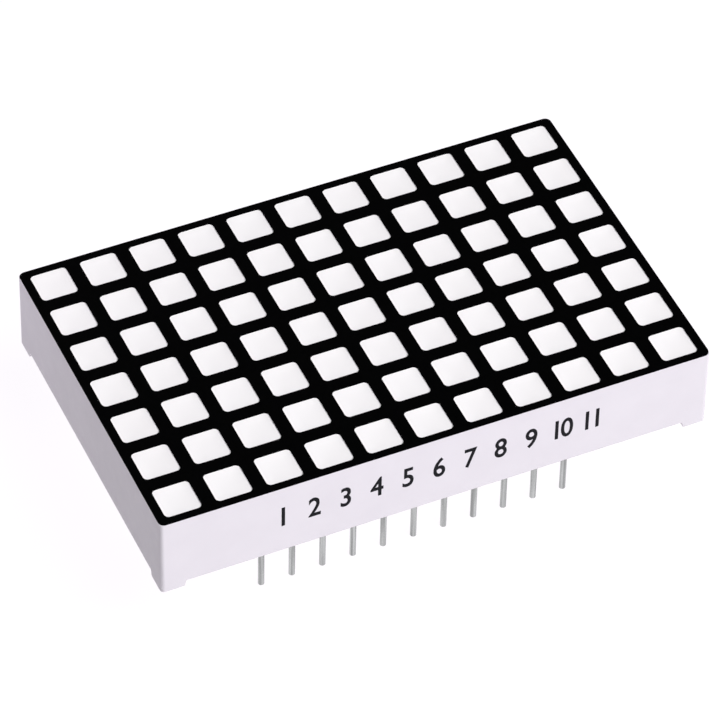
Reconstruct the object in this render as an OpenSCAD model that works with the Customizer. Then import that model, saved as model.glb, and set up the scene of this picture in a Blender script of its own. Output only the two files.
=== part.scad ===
// Square-dot LED matrix: a white reflector housing with a black face coat, resin in every
// light well, a chip-on-board circuit behind it and two rows of round solder pins.
// Millimetres. X runs along the dot rows, Y from the column pins to the row pins, and Z out
// of the lit face. The origin is the centre of the pin pattern, level with the foot bottoms.

/* [Dot grid] */
// Distance from one dot to the next, along the rows and along the columns
dot_pitch = 4.064; // [3.8:0.004:4.4]
// Number of dots along the long side, and of pins in the front row
columns = 11; // [8:1:13]
// Number of dots along the short side, and of pins in the rear row
rows = 7; // [5:1:9]
// Side of the square window of each dot
window = 2.96; // [2.6:0.02:3.2]
// Corner radius of each window
window_r = 0.38; // [0.1:0.02:0.6]
// Depth of the straight lip of each window, before the well starts to taper
window_lip = 0.3; // [0.1:0.05:0.8]
// Side of each light well where it meets the board
well_floor = 2; // [1.8:0.02:2.04]

/* [Housing] */
// Height from the foot bottoms to the lit face
body_h = 7.3; // [6.4:0.1:9]
// How far the face runs on past the cells of the two end columns
end_margin = 0.14; // [0:0.02:0.4]
// How far the face runs on past the cells of the two outer rows
side_margin = 0.04; // [0:0.02:0.4]
// How much further out each wall stands at the feet than at the face
wall_draft = 0.03; // [0:0.01:0.2]
// Radius of the four upright edges, at the face
corner_r = 0.3; // [0.2:0.05:1.2]
// Thickness of the skirt around the board, before the draft adds to it
skirt_t = 0.9; // [0.6:0.02:0.92]
// Corner radius inside the skirt
recess_r = 0.4; // [0.2:0.05:0.8]
// Height of the corner feet below the skirt's rim
foot_h = 0.55; // [0.2:0.05:1]
// Length of each foot along the wall, at its bottom
foot_l = 1.9; // [1.4:0.1:4]
// Slant of the inner ends of the feet, over their height
foot_slant = 0.15; // [0:0.05:0.5]
// Thickness of the black coat on the face
coat_t = 0.1; // [0.04:0.02:0.2]
// How much rounder the corners of the coat are than those of the housing
coat_ease = 0.2; // [0:0.05:0.5]

/* [Circuit board] */
// Thickness of the board
board_t = 1.2; // [0.8:0.1:1.6]
// Gap between the board's edge and the skirt
board_gap = 0.1; // [0.05:0.01:0.12]
// Thickness of the copper pads
copper_t = 0.035; // [0.035:0.005:0.07]
// Thickness of the potting behind the board
potting_t = 0.9; // [0.7:0.05:1.4]
// Depth of the potting's surface inside the skirt's rim
potting_setback = 0.3; // [0.1:0.05:0.6]

/* [Light sources] */
// Side of each square LED die
die = 0.3; // [0.2:0.02:0.4]
// Thickness of each die
die_t = 0.12; // [0.08:0.01:0.2]
// Side of the square copper pad under each die
die_pad = 0.6; // [0.5:0.02:0.7]
// Distance from the middle of a die to the middle of its bond pad
bond_reach = 0.55; // [0.52:0.01:0.6]
// Side of the square bond pad beside each die
bond_pad = 0.24; // [0.16:0.02:0.28]
// Diameter of the bond wires
bond_d = 0.03; // [0.02:0.005:0.05]
// Room left around the die, its pads and its wire in the foot of the resin
pocket_gap = 0.1; // [0.06:0.01:0.14]

/* [Pins] */
// Distance from pin to pin along each row
pin_pitch = 2.54; // [2:0.01:2.8]
// Diameter of the round pins, over their tinned free length
pin_d = 0.5; // [0.4:0.02:0.6]
// Thickness of the dipped tin, which ends where a pin enters the potting
tin_t = 0.02; // [0.01:0.005:0.03]
// Reach of the pins below the foot bottoms
pin_reach = 7.45; // [3:0.05:12]
// Height of the bevel at the tip of each pin
pin_bevel = 0.1; // [0.05:0.01:0.18]
// Length of pin that stands out of the solder above the board
pin_stub = 0.1; // [0.05:0.01:0.3]
// Gap between a pin's bare wire and the wall of its hole, which the solder fills
hole_gap = 0.1; // [0.06:0.01:0.14]
// Width of the copper ring around each hole
pad_ring = 0.2; // [0.12:0.01:0.24]
// Height of the solder on each side of the board
solder_h = 0.45; // [0.3:0.05:0.6]
// Room left around the soldered pin heads under the reflector
relief_gap = 0.15; // [0.08:0.01:0.2]

/* [Hidden] */
$fn = 48;
// how far a cut runs past the surface that it opens
cut = 0.01;

body_l = columns * dot_pitch + 2 * end_margin;
body_w = rows * dot_pitch + 2 * side_margin;
recess_l = body_l - 2 * skirt_t;
recess_w = body_w - 2 * skirt_t;

// levels, from the foot bottoms up
potting_z = foot_h + potting_setback;
board_z = potting_z + potting_t;
seat_z = board_z + board_t;
face_z = body_h - coat_t;

well_h = face_z - seat_z;
well_slope = (window - well_floor) / 2 / (well_h - window_lip);

// the pin rows stand under the webs between the two outer rows of dots
pin_row_y = (rows / 2 - 1) * dot_pitch;
pin_r = pin_d / 2;
wire_r = pin_r - tin_t;
hole_r = wire_r + hole_gap;
pad_r = hole_r + pad_ring;
solder_low = board_z - copper_t - solder_h;
solder_top = seat_z + copper_t + solder_h;
pin_top = solder_top + pin_stub;

pocket_r = bond_reach + bond_pad / 2 + pocket_gap;
pocket_h = copper_t + die_t + (bond_reach + bond_d) / 2 + pocket_gap;
die_z = seat_z + copper_t;

function dot_x(column) = (column - (columns + 1) / 2) * dot_pitch;
function dot_y(row) = (row - (rows + 1) / 2) * dot_pitch;
function pin_x(pin, count) = (pin - (count + 1) / 2) * pin_pitch;

// puts its children at each dot of one row, or of every row
module at_row(row) {
    for (column = [1:columns])
        translate([dot_x(column), dot_y(row)])
            children();
}

module at_dots() {
    for (row = [1:rows])
        at_row(row)
            children();
}

module at_column_pins() {
    for (pin = [1:columns])
        translate([pin_x(pin, columns), -pin_row_y])
            children();
}

module at_row_pins() {
    for (pin = [1:rows])
        translate([pin_x(pin, rows), pin_row_y])
            children();
}

module at_pins() {
    at_column_pins() children();
    at_row_pins() children();
}

// flat rectangle with true round corners
module rounded_plate(l, w, r) {
    square([l - 2 * r, w], center = true);
    square([l, w - 2 * r], center = true);
    for (x = [-1, 1], y = [-1, 1])
        translate([x * (l / 2 - r), y * (w / 2 - r)])
            circle(r);
}

// flat slot with round ends, along X
module slot(l, w) {
    square([l, w], center = true);
    for (x = [-1, 1])
        translate([x * l / 2, 0])
            circle(w / 2);
}

// side view of a light well, from over below the board's seat to over above the face
module well_profile(over) {
    low = well_floor / 2 - well_slope * over;
    high = well_floor / 2 + well_slope * (well_h + over);
    polygon([[-low, -over], [low, -over], [high, well_h + over], [-high, well_h + over]]);
}

// one light well: four slanted walls below a straight lip with round corners
module light_well(over = 0) {
    translate([0, 0, seat_z])
        intersection() {
            rotate([90, 0, 0])
                linear_extrude(height = 2 * window, center = true)
                    well_profile(over);
            rotate([90, 0, 90])
                linear_extrude(height = 2 * window, center = true)
                    well_profile(over);
            translate([0, 0, -over])
                linear_extrude(height = well_h + 2 * over)
                    rounded_plate(window, window, window_r);
        }
}

// room for one row of soldered pin heads in the underside of the reflector
module pin_relief(count) {
    translate([0, 0, seat_z - cut])
        linear_extrude(height = pin_top - seat_z + relief_gap + cut)
            slot((count - 1) * pin_pitch, 2 * (pad_r + relief_gap));
}

// one pair of drafted walls, which face X, over a stretch of the width
module wall_pair(l, stretch) {
    rotate([90, 0, 0])
        linear_extrude(height = stretch, center = true)
            polygon([[-l / 2 - wall_draft, 0], [l / 2 + wall_draft, 0],
                     [l / 2, face_z], [-l / 2, face_z]]);
}

// outside of the housing: drafted walls that meet in round upright edges
module drafted_block(l, w) {
    wall_pair(l, w - 2 * corner_r);
    rotate(90) wall_pair(w, l - 2 * corner_r);
    for (x = [-1, 1], y = [-1, 1])
        translate([x * (l / 2 - corner_r), y * (w / 2 - corner_r)])
            cylinder(h = face_z, r1 = corner_r + wall_draft, r2 = corner_r);
}

// opens the skirt's rim between two feet, through both walls that face Y
module rim_notch(wall_l) {
    open_low = wall_l / 2 + wall_draft - foot_l;
    open_top = open_low - foot_slant;
    rotate([90, 0, 0])
        linear_extrude(height = 2 * body_l, center = true)
            polygon([[-open_low, 0], [-open_low, -cut], [open_low, -cut],
                     [open_low, 0], [open_top, foot_h], [-open_top, foot_h]]);
}

// One moulding: reflector with its light wells, skirt around the board, and corner feet
module housing() {
    color("white")
        difference() {
            drafted_block(body_l, body_w);
            translate([0, 0, -cut])
                linear_extrude(height = seat_z + cut)
                    rounded_plate(recess_l, recess_w, recess_r);
            at_dots() light_well(over = cut);
            translate([0, -pin_row_y]) pin_relief(columns);
            translate([0, pin_row_y]) pin_relief(rows);
            rim_notch(body_l);
            rotate(90) rim_notch(body_w);
        }
}

// Black coat on the face, open at each window
module face_coat() {
    color([0.02, 0.02, 0.02])
        translate([0, 0, face_z])
            linear_extrude(height = coat_t)
                difference() {
                    rounded_plate(body_l, body_w, corner_r + coat_ease);
                    at_dots() rounded_plate(window, window, window_r);
                }
}

// White diffusing resin that fills the light wells of one row, down to the board
module resin_row(row) {
    color([0.97, 0.96, 0.98])
        at_row(row)
            difference() {
                light_well();
                translate([0, 0, seat_z - cut])
                    cylinder(h = pocket_h + cut, r = pocket_r);
            }
}

// Glass-epoxy board with a plain hole for each pin
module circuit_board() {
    color([0.86, 0.88, 0.8])
        translate([0, 0, board_z])
            linear_extrude(height = board_t)
                difference() {
                    rounded_plate(recess_l - 2 * board_gap, recess_w - 2 * board_gap,
                                  recess_r - board_gap);
                    at_pins() circle(hole_r);
                }
}

// Square copper pads that carry the dies
module die_pads() {
    color([0.85, 0.65, 0.3])
        at_dots()
            translate([0, 0, seat_z + copper_t / 2])
                cube([die_pad, die_pad, copper_t], center = true);
}

// Square copper pads that take the outer ends of the bond wires
module bond_pads() {
    color([0.85, 0.65, 0.3])
        at_dots()
            translate([bond_reach, 0, seat_z + copper_t / 2])
                cube([bond_pad, bond_pad, copper_t], center = true);
}

// Copper rings around the pin holes, on both faces of the board
module pin_pads() {
    color([0.85, 0.65, 0.3])
        for (z = [board_z - copper_t, seat_z])
            translate([0, 0, z])
                linear_extrude(height = copper_t)
                    at_pins()
                        difference() {
                            circle(pad_r);
                            circle(hole_r);
                        }
}

// The bare LED dies of one row, each on the middle of its pad
module led_dies_row(row) {
    color([0.5, 0.7, 0.95])
        at_row(row)
            translate([0, 0, die_z + die_t / 2])
                cube([die, die, die_t], center = true);
}

// The bond wires of one row: each arches off its die and drops to its bond pad
module bond_wires_row(row) {
    color([0.95, 0.75, 0.25])
        at_row(row) {
            translate([bond_reach / 2, 0, die_z + die_t])
                rotate([90, 0, 0])
                    rotate_extrude(angle = 180)
                        translate([bond_reach / 2, 0])
                            circle(bond_d / 2, $fn = 6);
            translate([bond_reach, 0, die_z])
                cylinder(h = die_t, d = bond_d, $fn = 6);
        }
}

// One round pin: bevelled tip down, tinned up to the potting, bare wire through the board
module pin() {
    color([0.78, 0.78, 0.76])
        rotate_extrude()
            polygon([[0, -pin_reach], [pin_r - pin_bevel, -pin_reach],
                     [pin_r, pin_bevel - pin_reach], [pin_r, potting_z],
                     [wire_r, potting_z], [wire_r, pin_top], [0, pin_top]]);
}

module column_pin(number) {
    translate([pin_x(number, columns), -pin_row_y]) pin();
}

module row_pin(number) {
    translate([pin_x(number, rows), pin_row_y]) pin();
}

// Solder around one pin: a cone on each face of the board, joined through the hole
module solder_joint() {
    color([0.72, 0.73, 0.74])
        rotate_extrude()
            polygon([[wire_r, solder_low], [pad_r, board_z - copper_t],
                     [hole_r, board_z - copper_t], [hole_r, seat_z + copper_t],
                     [pad_r, seat_z + copper_t], [wire_r, solder_top]]);
}

module column_solder() {
    at_column_pins() solder_joint();
}

module row_solder() {
    at_row_pins() solder_joint();
}

// Resin poured over the back of the board, around the pins and their solder
module potting() {
    color([0.93, 0.92, 0.88])
        difference() {
            translate([0, 0, potting_z])
                linear_extrude(height = potting_t)
                    rounded_plate(recess_l, recess_w, recess_r);
            at_pins()
                rotate_extrude()
                    polygon([[0, potting_z - cut], [wire_r, potting_z - cut],
                             [wire_r, solder_low], [pad_r, board_z - copper_t],
                             [pad_r, board_z + cut], [0, board_z + cut]]);
        }
}

housing();
face_coat();
for (row = [1:rows])
    resin_row(row);
circuit_board();
die_pads();
bond_pads();
pin_pads();
for (row = [1:rows])
    led_dies_row(row);
for (row = [1:rows])
    bond_wires_row(row);
for (number = [1:columns])
    column_pin(number);
for (number = [1:rows])
    row_pin(number);
column_solder();
row_solder();
potting();
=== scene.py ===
"""LED dot matrix, eleven dots by seven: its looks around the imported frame, in metres."""
import math

import bmesh
import bpy
from mathutils import Matrix, Vector


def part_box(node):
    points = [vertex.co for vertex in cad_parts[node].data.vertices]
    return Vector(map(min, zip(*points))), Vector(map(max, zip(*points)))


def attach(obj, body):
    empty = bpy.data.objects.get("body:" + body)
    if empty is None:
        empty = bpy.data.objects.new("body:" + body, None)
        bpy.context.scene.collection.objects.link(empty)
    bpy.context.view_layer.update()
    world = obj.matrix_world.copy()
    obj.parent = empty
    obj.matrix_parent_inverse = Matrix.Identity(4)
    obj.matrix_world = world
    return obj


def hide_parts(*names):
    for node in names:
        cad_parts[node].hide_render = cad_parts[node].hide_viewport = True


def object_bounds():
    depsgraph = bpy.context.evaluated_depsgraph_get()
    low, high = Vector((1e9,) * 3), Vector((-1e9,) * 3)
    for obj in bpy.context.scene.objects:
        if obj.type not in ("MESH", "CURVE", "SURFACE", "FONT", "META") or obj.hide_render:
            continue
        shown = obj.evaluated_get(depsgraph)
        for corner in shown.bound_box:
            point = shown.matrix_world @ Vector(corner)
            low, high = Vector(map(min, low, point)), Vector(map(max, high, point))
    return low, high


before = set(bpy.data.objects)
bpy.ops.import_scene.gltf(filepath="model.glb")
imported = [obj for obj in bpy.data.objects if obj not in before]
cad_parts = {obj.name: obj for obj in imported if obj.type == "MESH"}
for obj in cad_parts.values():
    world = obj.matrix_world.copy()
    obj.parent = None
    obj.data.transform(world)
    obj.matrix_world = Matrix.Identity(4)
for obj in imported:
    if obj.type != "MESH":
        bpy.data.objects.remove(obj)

cad_low, cad_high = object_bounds()
MM = 0.001
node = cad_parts

# ---- Camera -----------------------------------------------------------------------------
# A long lens on a stand, looking down on the lit face over the corner where the feet of the
# long front wall and of the left wall meet.
azimuth, elevation, roll = (math.radians(angle) for angle in (-24.914, 45.524, 1.239))
aim = Vector((-2.078 * MM, -4.453 * MM, cad_high.z))
away = Vector((math.sin(azimuth) * math.cos(elevation),
               -math.cos(azimuth) * math.cos(elevation), math.sin(elevation)))
bpy.ops.object.camera_add(location=aim + away * 382.131 * MM)
camera = bpy.context.object
camera.name = "camera"
camera.rotation_euler = (Matrix.Rotation(azimuth, 3, "Z")
                         @ Matrix.Rotation(math.pi / 2 - elevation, 3, "X")
                         @ Matrix.Rotation(roll, 3, "Z")).to_euler()
camera.data.sensor_width = 36
camera.data.lens = 252.77
camera.data.clip_start = 0.02
camera.data.clip_end = 20
bpy.context.scene.camera = camera
bpy.context.scene.view_settings.view_transform = "Standard"

# ---- Light table ------------------------------------------------------------------------
# The module stands on its pins on a white light table, which shines up past the skirt. A
# large soft box hangs high at the front right, with weak ones low at the front, left, back
# and right.
table_size = 6


def new_material(name, roughness, **fixed):
    """A principled material with the sockets that are the same all over set by name."""
    material = bpy.data.materials.new(name)
    material.use_nodes = True
    shader = material.node_tree.nodes["Principled BSDF"]
    shader.inputs["Roughness"].default_value = roughness
    for socket, value in fixed.items():
        shader.inputs[socket.replace("_", " ")].default_value = value
    return material, material.node_tree, shader


bpy.ops.mesh.primitive_plane_add(size=table_size, location=(0, 0, cad_low.z))
table = bpy.context.object
table.name = "table"
table_white, tree, shader = new_material("table_white", 0.6, Emission_Strength=0.93,
                                         Base_Color=(0.1, 0.1, 0.1, 1),
                                         Emission_Color=(1.03, 1, 1.04, 1))
shader.inputs["Specular IOR Level"].default_value = 0
one_way = tree.nodes.new("ShaderNodeMixShader")   # from below the table is clear
links = tree.links
links.new(tree.nodes.new("ShaderNodeNewGeometry").outputs["Backfacing"], one_way.inputs["Fac"])
links.new(shader.outputs["BSDF"], one_way.inputs[1])
links.new(tree.nodes.new("ShaderNodeBsdfTransparent").outputs["BSDF"], one_way.inputs[2])
links.new(one_way.outputs["Shader"], tree.nodes["Material Output"].inputs["Surface"])
table.data.materials.append(table_white)

world = bpy.data.worlds.new("room")
bpy.context.scene.world = world
world.use_nodes = True
world.node_tree.nodes["Background"].inputs["Color"].default_value = (1, 1, 1, 1)
world.node_tree.nodes["Background"].inputs["Strength"].default_value = 0.01


def soft_box(name, toward, distance, size, power, colour=(1, 1, 1)):
    """A square area light that looks at the middle of the module."""
    place = Vector(toward).normalized() * distance
    bpy.ops.object.light_add(type="AREA", location=place)
    light = bpy.context.object
    light.name = name
    light.rotation_euler = place.to_track_quat("Z", "Y").to_euler()
    light.data.size = size
    light.data.energy = power
    light.data.color = colour


soft_box("key", (0.34, -0.62, 1.0), 1.2, 0.7, 17.9)
soft_box("front", (0.3, -1.0, 0.2), 0.9, 0.5, 1.3)
soft_box("side", (-38, 32, 12), 0.051, 0.02, 0.0016, (1.0, 0.90, 1.08))
soft_box("back", (0.15, 1.0, 0.3), 0.9, 0.5, 1.2)
soft_box("right", (1.0, -0.45, 0.25), 0.12, 0.06, 0.010)

# ---- Housing ----------------------------------------------------------------------------
# One white polycarbonate moulding: reflector, skirt and corner feet in one. It comes out of
# a fine-textured mould, so its walls are satin and very slightly uneven, and the edges of its
# rim and feet are a little eased.
edge_ease = 0.06 * MM
skirt_t = 0.9 * MM
skirt_slack = 0.2 * MM
rim_z = 0.55 * MM
level_slack = 0.01 * MM
weld = 0.0005 * MM
flat_angle = math.radians(0.4)
sharp_angle = math.radians(25)
smooth_angle = math.radians(35)


def grains(tree, size, detail=2.0, stretch=(1, 1, 1)):
    """Noise on Object coordinates, its grains about size metres across."""
    place = tree.nodes.new("ShaderNodeTexCoord")
    scale = tree.nodes.new("ShaderNodeMapping")
    scale.inputs["Scale"].default_value = stretch
    noise = tree.nodes.new("ShaderNodeTexNoise")
    noise.inputs["Scale"].default_value = 1 / size
    noise.inputs["Detail"].default_value = detail
    tree.links.new(place.outputs["Object"], scale.inputs["Vector"])
    tree.links.new(scale.outputs["Vector"], noise.inputs["Vector"])
    return noise.outputs["Fac"]


def tint(tree, shader, fac, low, high):
    """Base colour from low to high over the middle of a noise."""
    ramp = tree.nodes.new("ShaderNodeValToRGB")
    ramp.color_ramp.elements[0].position = 0.3
    ramp.color_ramp.elements[0].color = (*low, 1)
    ramp.color_ramp.elements[1].position = 0.7
    ramp.color_ramp.elements[1].color = (*high, 1)
    tree.links.new(fac, ramp.inputs["Fac"])
    tree.links.new(ramp.outputs["Color"], shader.inputs["Base Color"])


def sheen(tree, shader, fac, low, high):
    """Roughness from low to high over the middle of a noise."""
    spread = tree.nodes.new("ShaderNodeMapRange")
    for socket, value in zip(("From Min", "From Max", "To Min", "To Max"), (0.3, 0.7, low, high)):
        spread.inputs[socket].default_value = value
    tree.links.new(fac, spread.inputs["Value"])
    tree.links.new(spread.outputs["Result"], shader.inputs["Roughness"])


def relief(tree, shader, *layers):
    """Bumps from (noise, height in metres) pairs, the coarse ones first."""
    last = None
    for fac, height in layers:
        bump = tree.nodes.new("ShaderNodeBump")
        bump.inputs["Distance"].default_value = height
        tree.links.new(fac, bump.inputs["Height"])
        if last:
            tree.links.new(last.outputs["Normal"], bump.inputs["Normal"])
        last = bump
    tree.links.new(last.outputs["Normal"], shader.inputs["Normal"])


def finish_node(name, material):
    """Gives a CAD node its material."""
    node[name].data.materials.clear()
    node[name].data.materials.append(material)


moulded_white, tree, shader = new_material("moulded_white", 0.45)
shader.inputs["Specular IOR Level"].default_value = 0.25
tint(tree, shader, grains(tree, 3 * MM, 3), (0.655, 0.625, 0.675), (0.68, 0.65, 0.70))
sheen(tree, shader, grains(tree, 0.6 * MM), 0.40, 0.52)
relief(tree, shader, (grains(tree, 2.5 * MM, 1), 12e-6), (grains(tree, 0.12 * MM), 3e-6))


def put_down():
    """Deselects everything before the next primitive."""
    bpy.ops.object.select_all(action="DESELECT")


def pick(shape, kind, wanted):
    """In edit mode, selects the faces or edges that wanted() says yes to, and no others."""
    bpy.ops.mesh.select_mode(type=kind)
    bpy.ops.mesh.select_all(action="DESELECT")
    mesh = bmesh.from_edit_mesh(shape.data)
    for part in mesh.faces if kind == "FACE" else mesh.edges:
        part.select_set(wanted(part))
    mesh.select_flush_mode()
    bmesh.update_edit_mesh(shape.data)


def copy_of(name, new_name):
    """A welded copy of a CAD node, on its own, left in edit mode with all of it selected."""
    put_down()
    piece = node[name].copy()
    piece.data = node[name].data.copy()
    piece.name = new_name
    for tag in list(piece.keys()):
        del piece[tag]
    bpy.context.collection.objects.link(piece)
    piece.parent = None
    bpy.context.view_layer.objects.active = piece
    piece.select_set(True)
    bpy.ops.mesh.customdata_custom_splitnormals_clear()
    bpy.ops.object.mode_set(mode="EDIT")
    bpy.ops.mesh.select_all(action="SELECT")
    bpy.ops.mesh.remove_doubles(threshold=weld)
    return piece


half_l, half_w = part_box("face_coat")[1].x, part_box("face_coat")[1].y
shell = copy_of("housing", "housing_moulding")
pick(shell, "FACE", lambda face: max(
    abs(face.calc_center_median().x) - half_l, abs(face.calc_center_median().y) - half_w)
     > -skirt_t - skirt_slack and face.normal.z < 0.9)
bpy.ops.mesh.dissolve_limited(angle_limit=flat_angle)
pick(shell, "EDGE", lambda edge: max(corner.co.z for corner in edge.verts) < rim_z + level_slack
     and edge.calc_face_angle() > sharp_angle)
bpy.ops.mesh.bevel(offset=edge_ease, segments=2, affect="EDGES", clamp_overlap=True)
bpy.ops.object.mode_set(mode="OBJECT")
bpy.ops.object.shade_smooth_by_angle(angle=smooth_angle)
bpy.ops.object.modifier_add(type="WEIGHTED_NORMAL")
shell.modifiers[-1].weight = 100
shell.modifiers[-1].keep_sharp = True
bpy.ops.object.modifier_apply(modifier=shell.modifiers[-1].name)
shell.data.materials.clear()
shell.data.materials.append(moulded_white)
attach(shell, "root")
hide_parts("housing")

# ---- Circuit board ----------------------------------------------------------------------
# Glass-epoxy board, cut from a panel. It closes the light wells from behind.
laminate, tree, shader = new_material("glass_epoxy", 0.4)
tint(tree, shader, grains(tree, 0.4 * MM, 2, (1, 6, 1)), (0.60, 0.62, 0.44), (0.74, 0.76, 0.60))
relief(tree, shader, (grains(tree, 0.4 * MM, 2, (6, 1, 1)), 4e-6))
finish_node("circuit_board", laminate)

# ---- Copper pads ------------------------------------------------------------------------
# Etched copper foil under the dies, beside them for the bond wires, and round the pin holes.
flashed_copper, tree, shader = new_material("flashed_copper", 0.35, Metallic=1)
tint(tree, shader, grains(tree, 0.15 * MM, 3), (0.78, 0.50, 0.26), (0.90, 0.66, 0.36))
sheen(tree, shader, grains(tree, 0.08 * MM), 0.25, 0.45)
for name in ("die_pads", "bond_pads", "pin_pads"):
    finish_node(name, flashed_copper)

# ---- Dies and bond wires ----------------------------------------------------------------
# Bare LED chips, glued to their pads, each with one thin gold wire to the pad beside it.
chip, tree, shader = new_material("led_chip", 0.15, Coat_Weight=0.5)
tint(tree, shader, grains(tree, 0.1 * MM, 1), (0.30, 0.45, 0.70), (0.42, 0.58, 0.80))
gold, tree, shader = new_material("gold_wire", 0.25, Metallic=1)
tint(tree, shader, grains(tree, 0.05 * MM, 1), (0.86, 0.62, 0.22), (0.95, 0.74, 0.32))
rows = sum(name.startswith("resin_row_") for name in node)
for row in range(1, rows + 1):
    finish_node(f"led_dies_row_{row}", chip)
    finish_node(f"bond_wires_row_{row}", gold)

# ---- Window resin -----------------------------------------------------------------------
# White diffusing epoxy cast into every light well. It shrinks as it cures, so each window
# is a shallow dish that still holds to the rim. The block tapers with its well.
dot_pitch = 4.064 * MM
window = 2.96 * MM
window_r = 0.38 * MM
lip = 0.3 * MM
well_floor = 2 * MM
dish = 0.11 * MM
dish_rings = ((0.93, 0.05), (0.80, 0.16), (0.62, 0.31), (0.42, 0.55), (0.22, 0.8))
pocket_wall = 0.22 * MM
pocket_h = 0.545 * MM
resin_low, resin_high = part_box("resin_row_1")[0].z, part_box("resin_row_1")[1].z


def upright(edge):
    """True for an edge that runs along Z."""
    ends = edge.verts[0].co - edge.verts[1].co
    return abs(ends.z) > 0.9 * ends.length


put_down()
bpy.ops.mesh.primitive_cube_add(size=1, location=(0, 0, resin_high - lip / 2),
                                scale=(window, window, lip))
bpy.ops.object.transform_apply(location=True, rotation=True, scale=True)
cell = bpy.context.object
bpy.ops.object.mode_set(mode="EDIT")
pick(cell, "EDGE", upright)
bpy.ops.mesh.bevel(offset=window_r, segments=6, affect="EDGES")
pick(cell, "EDGE", lambda edge: not upright(edge) and edge.calc_length() > window / 2)
bpy.ops.mesh.subdivide_edgering(number_cuts=5, interpolation="LINEAR")
pick(cell, "FACE", lambda face: face.normal.z < -0.9)
bpy.ops.mesh.extrude_region_move(
    TRANSFORM_OT_translate={"value": (0, 0, resin_low - resin_high + lip)})
taper = well_floor / window
bpy.ops.transform.resize(value=(taper, taper, 1), center_override=(0, 0, resin_low))
bpy.ops.mesh.inset(thickness=pocket_wall)
bpy.ops.mesh.extrude_region_move(TRANSFORM_OT_translate={"value": (0, 0, pocket_h)})
pick(cell, "FACE", lambda face: face.normal.z > 0.9 and face.calc_center_median().z
     > resin_high - lip / 2)
ring, depth = 1, 0
for next_ring, round_out in dish_rings:
    next_depth = dish * (1 - next_ring ** 2)
    bpy.ops.mesh.extrude_region_move(
        TRANSFORM_OT_translate={"value": (0, 0, depth - next_depth)})
    step = next_ring / ring
    bpy.ops.transform.resize(value=(step, step, 1), center_override=(0, 0, resin_high))
    bpy.ops.transform.tosphere(value=round_out, center_override=(0, 0, resin_high - next_depth))
    ring, depth = next_ring, next_depth
bpy.ops.object.mode_set(mode="OBJECT")
bpy.ops.object.shade_smooth_by_angle(angle=smooth_angle)

window_epoxy, tree, shader = new_material("window_epoxy", 0.35)
tint(tree, shader, grains(tree, 5 * MM, 2), (0.935, 0.91, 0.93), (0.955, 0.935, 0.955))
sheen(tree, shader, grains(tree, 1.2 * MM), 0.30, 0.42)
relief(tree, shader, (grains(tree, 1.6 * MM, 1), 8e-6), (grains(tree, 0.15 * MM), 1e-6))
cell.data.materials.append(window_epoxy)

for row in range(1, rows + 1):
    low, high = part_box(f"resin_row_{row}")
    dots = round((high.x - low.x) / dot_pitch)
    put_down()
    for dot in range(dots):
        block = cell.copy()
        block.data = cell.data.copy()
        bpy.context.collection.objects.link(block)
        block.location = ((dot - (dots - 1) / 2) * dot_pitch, (low.y + high.y) / 2, 0)
        block.select_set(True)
    bpy.context.view_layer.objects.active = block
    bpy.ops.object.join()
    bpy.ops.object.transform_apply(location=True, rotation=True, scale=True)
    blocks = bpy.context.object
    blocks.name = f"window_blocks_row_{row}"
    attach(blocks, "root")
    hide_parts(f"resin_row_{row}")
bpy.data.objects.remove(cell)

# ---- Face coat --------------------------------------------------------------------------
# Flat black ink rolled on the face of the reflector after moulding, open at each window.
face_ink, tree, shader = new_material("face_ink", 0.6)
shader.inputs["Specular IOR Level"].default_value = 0.015
tint(tree, shader, grains(tree, 0.3 * MM, 3), (0.0003, 0.0003, 0.0004), (0.0008, 0.0008, 0.001))
relief(tree, shader, (grains(tree, 0.1 * MM), 2e-6))
finish_node("face_coat", face_ink)

# ---- Pins -------------------------------------------------------------------------------
# Round copper-clad wire, dipped in tin and cut to length. Drawing leaves faint streaks
# along each pin. The colour also holds painted reflections: dark and light stripes along
# each pin, and a tin painted darker all over.
tinned, tree, shader = new_material("tinned_wire", 0.3, Metallic=1)
# Streak noise along the pin. In the bumps it gives real drawing streaks. In the colour it gives
# painted reflection stripes, from dark to light grey.
streaks_and_painted_reflections = grains(tree, 0.2 * MM, 2, (1, 1, 0.03))
tint(tree, shader, streaks_and_painted_reflections, (0.28, 0.29, 0.285), (0.56, 0.58, 0.57))
sheen(tree, shader, grains(tree, 0.3 * MM), 0.24, 0.38)
relief(tree, shader, (streaks_and_painted_reflections, 2e-6))
pins = sorted(name for name in node if name.startswith(("column_pin_", "row_pin_")))
for name in pins:
    finish_node(name, tinned)

# ---- Solder -----------------------------------------------------------------------------
# Hand-bright tin solder that runs up each pin on both faces of the board.
bright_solder, tree, shader = new_material("bright_solder", 0.25, Metallic=1)
tint(tree, shader, grains(tree, 0.2 * MM, 2), (0.55, 0.56, 0.58), (0.68, 0.69, 0.70))
relief(tree, shader, (grains(tree, 0.25 * MM), 6e-6))
for name in ("column_solder", "row_solder"):
    finish_node(name, bright_solder)

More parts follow.
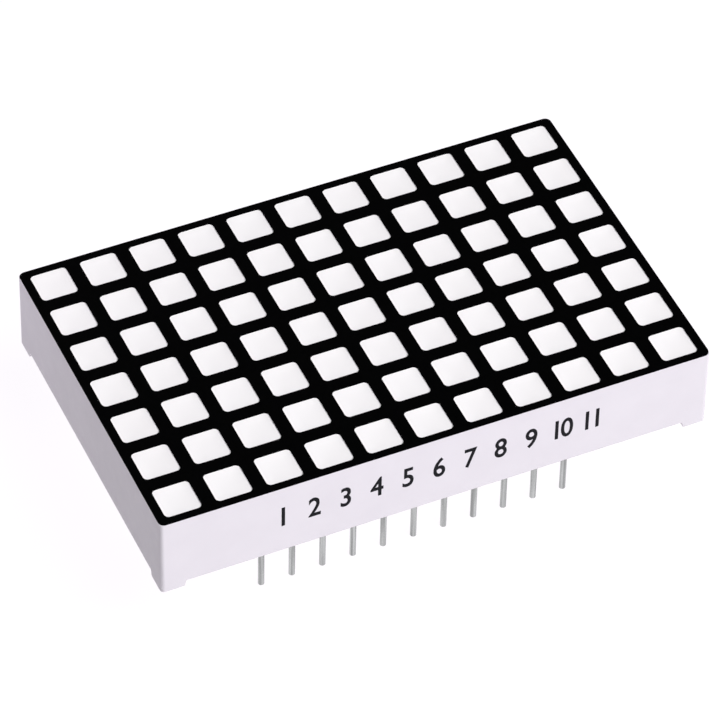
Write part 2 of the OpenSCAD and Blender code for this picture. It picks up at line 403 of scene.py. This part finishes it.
# ---- Potting ----------------------------------------------------------------------------
# Cream epoxy poured over the back of the board. It has crept a little way up the skirt and
# down every pin before it cured, and its skin is glossy.
creep_steps = ((0.06 * MM, 0.07 * MM), (0.12 * MM, 0.04 * MM), (0.18 * MM, 0.01 * MM))
creep_smooth = math.radians(50)
pour = copy_of("potting", "potting_pour")
bpy.ops.mesh.dissolve_limited(angle_limit=flat_angle)
pour_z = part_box("potting")[0].z
pick(pour, "FACE", lambda face: face.normal.z < -0.9
     and abs(face.calc_center_median().z - pour_z) < level_slack)
bpy.ops.transform.translate(value=(0, 0, -sum(step[1] for step in creep_steps)))
for width, rise in creep_steps:
    bpy.ops.mesh.inset(thickness=width, use_boundary=True, use_even_offset=True)
    bpy.ops.transform.translate(value=(0, 0, rise))
bpy.ops.object.mode_set(mode="OBJECT")
bpy.ops.object.shade_smooth_by_angle(angle=creep_smooth)
potting_epoxy, tree, shader = new_material("potting_epoxy", 0.15)
tint(tree, shader, grains(tree, 4 * MM, 2), (0.80, 0.78, 0.70), (0.85, 0.84, 0.77))
relief(tree, shader, (grains(tree, 3 * MM, 1), 30e-6))
pour.data.materials.clear()
pour.data.materials.append(potting_epoxy)
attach(pour, "root")
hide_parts("potting")

# ---- Pin numbers ------------------------------------------------------------------------
# Plain numbers stamped in black ink on the front wall, one over each pin of the long row.
# The ink lies on the drafted wall and leans back with it.
digit_h = 1.9 * MM
digit_share = 0.69       # height of a figure as a share of the font's size
digit_slim = 0.78
digit_spacing = 0.8
ink_spread = 0.05 * MM
ink_flat = 0.25
print_z = 4.05 * MM
wall_low, wall_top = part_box("housing")[0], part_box("face_coat")[0]
wall_lean = math.atan2(wall_top.y - wall_low.y, wall_top.z)
wall_y = wall_low.y + print_z * math.tan(wall_lean)
stamp_ink, tree, shader = new_material("stamp_ink", 0.6)
shader.inputs["Specular IOR Level"].default_value = 0.1
tint(tree, shader, grains(tree, 0.1 * MM, 3), (0.003, 0.003, 0.005), (0.009, 0.009, 0.012))
relief(tree, shader, (grains(tree, 0.06 * MM), 2e-6))
for name in pins:
    if name.startswith("column_pin_"):
        number = name.rsplit("_", 1)[1]
        low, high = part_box(name)
        put_down()
        bpy.ops.object.text_add()
        stamp = bpy.context.object
        stamp.data.body = number
        stamp.data.align_x, stamp.data.align_y = "CENTER", "CENTER"
        stamp.data.size = digit_h / digit_share
        stamp.data.space_character = digit_spacing
        stamp.data.extrude = 0.1 * ink_spread
        stamp.data.bevel_depth = ink_spread
        stamp.data.bevel_resolution = 0
        bpy.ops.object.convert(target="MESH")
        stamp = bpy.context.object
        bpy.ops.object.mode_set(mode="EDIT")
        bpy.ops.mesh.select_all(action="SELECT")
        bpy.ops.mesh.remove_doubles(threshold=weld)
        bpy.ops.object.mode_set(mode="OBJECT")
        stamp.scale = (digit_slim, 1, ink_flat)
        bpy.ops.object.transform_apply(location=False, rotation=False, scale=True)
        stamp.rotation_euler.x = math.pi / 2 - wall_lean
        stamp.location = ((low.x + high.x) / 2, wall_y, print_z)
        bpy.ops.object.transform_apply(location=True, rotation=True, scale=False)
        stamp.name = f"number_{number}"
        stamp.data.materials.append(stamp_ink)
        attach(stamp, "root")
